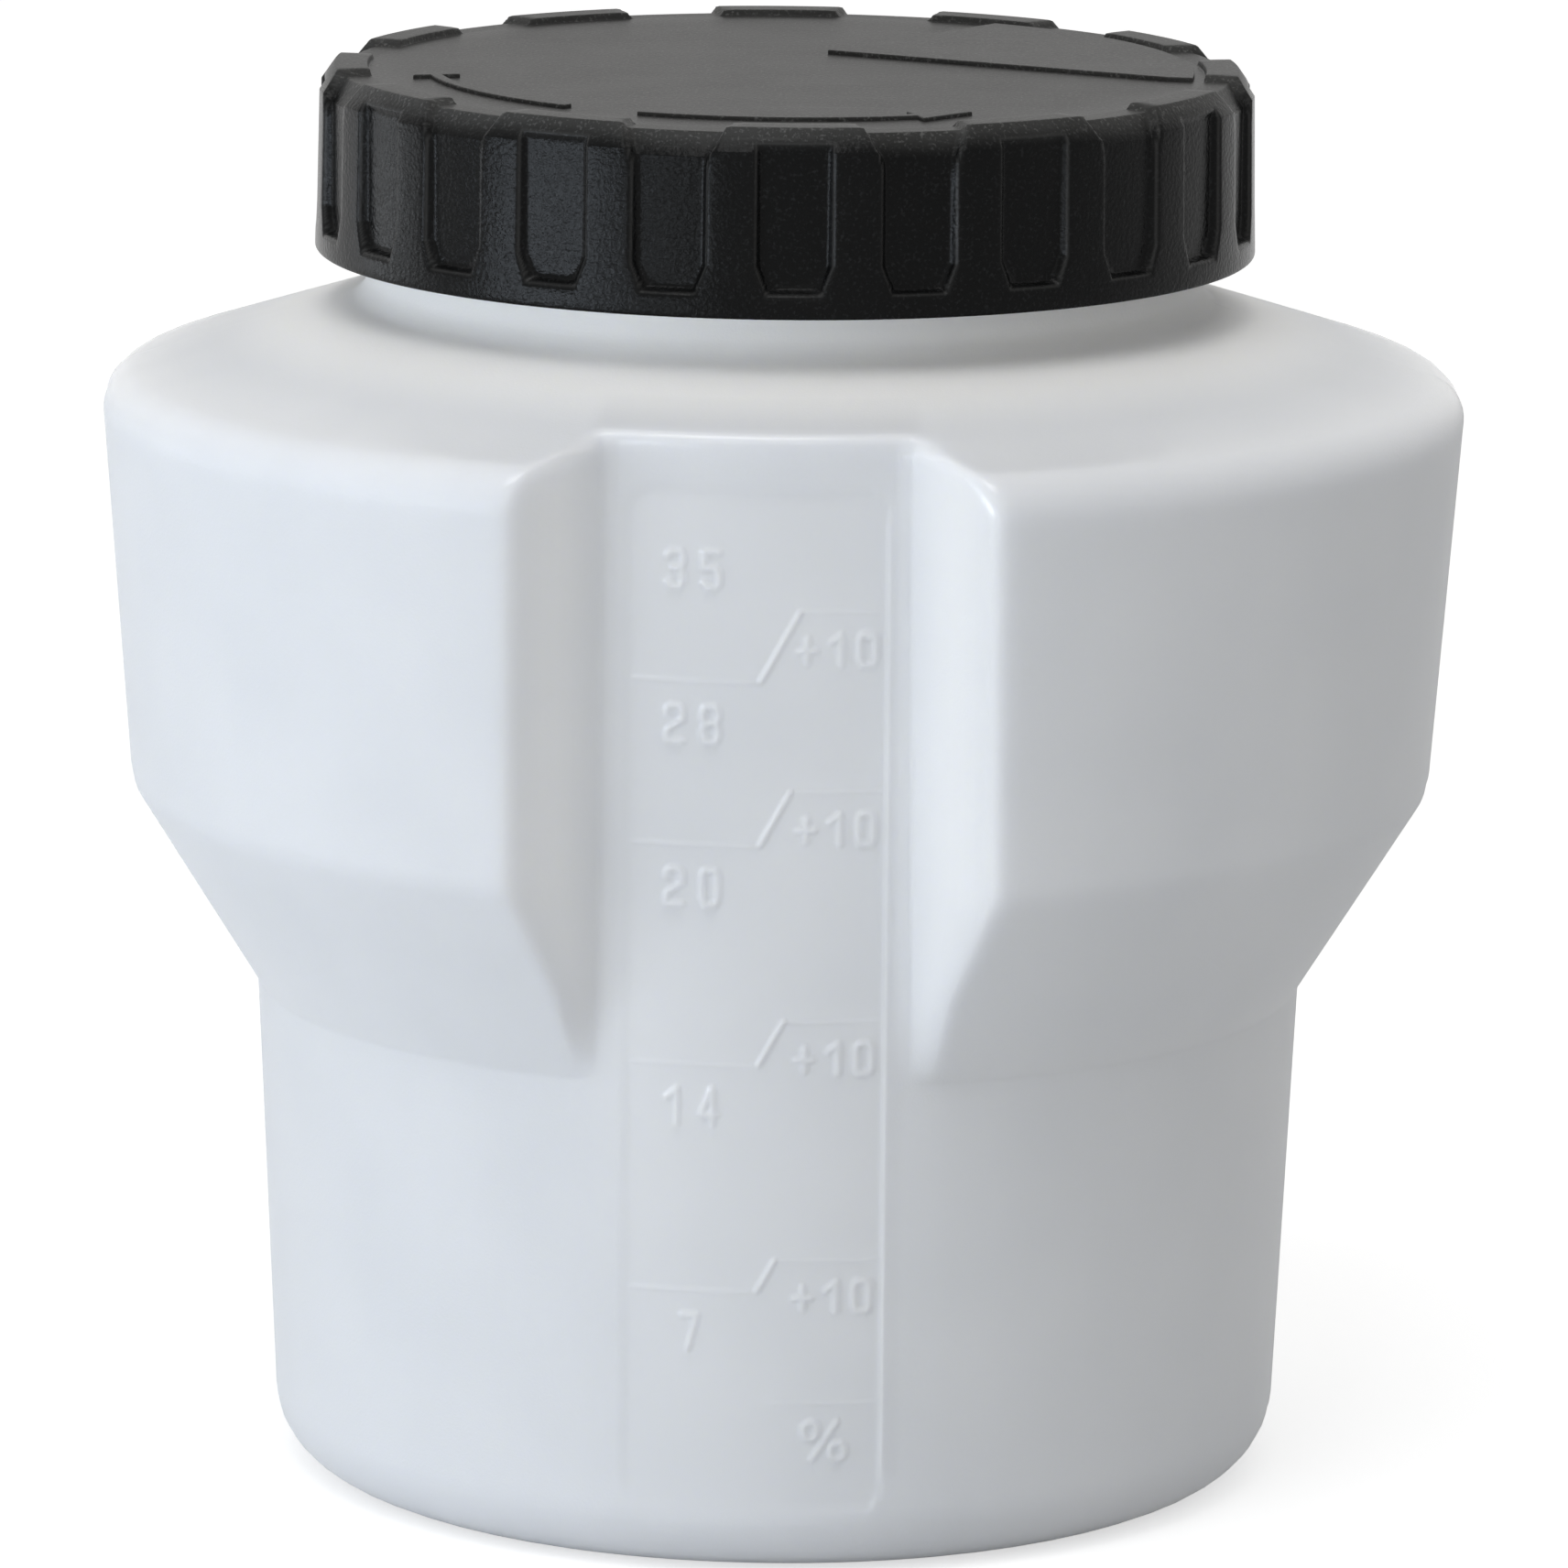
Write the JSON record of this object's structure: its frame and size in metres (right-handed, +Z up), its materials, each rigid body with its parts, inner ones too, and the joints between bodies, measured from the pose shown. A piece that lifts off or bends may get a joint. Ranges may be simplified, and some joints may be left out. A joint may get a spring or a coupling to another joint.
{
  "type": "paint container",
  "caption": "Waisted translucent plastic paint bottle with a grip recess and filling scale, closed by a ribbed black screw lid with a sealing ring.",
  "frame": {"origin": "middle of the base, on the plane that the container stands on", "axes": "+Z up along the axis of bottle and lid, -Y towards the recess with the filling scale, +X to the right seen from there"},
  "size_m": [0.1362, 0.1268, 0.1423],
  "materials": {
    "bottle": "natural translucent polyethylene, satin",
    "lid": "black polypropylene, fine spark-eroded grain",
    "seal": "foamed soft ring, matte"
  },
  "bodies": {
    "container": {"container": "bottle"},
    "seal": {"sealing_ring": "seal"},
    "lid": {"screw_lid": "lid"}
  },
  "joints": [
    {"name": "lid_rise", "type": "slide", "parent": "container", "child": "seal", "axis": [0, 0, 1], "range_m": [0, 0.012]},
    {"name": "lid_turn", "type": "hinge", "parent": "seal", "child": "lid", "pos_m": [0, 0, 0.1323], "axis": [0, 0, 1], "range_deg": [0, 720]}
  ],
  "couplings": [
    {"joint": "lid_rise", "follows": "lid_turn", "m_per_rad": 0.00095493}
  ]
}
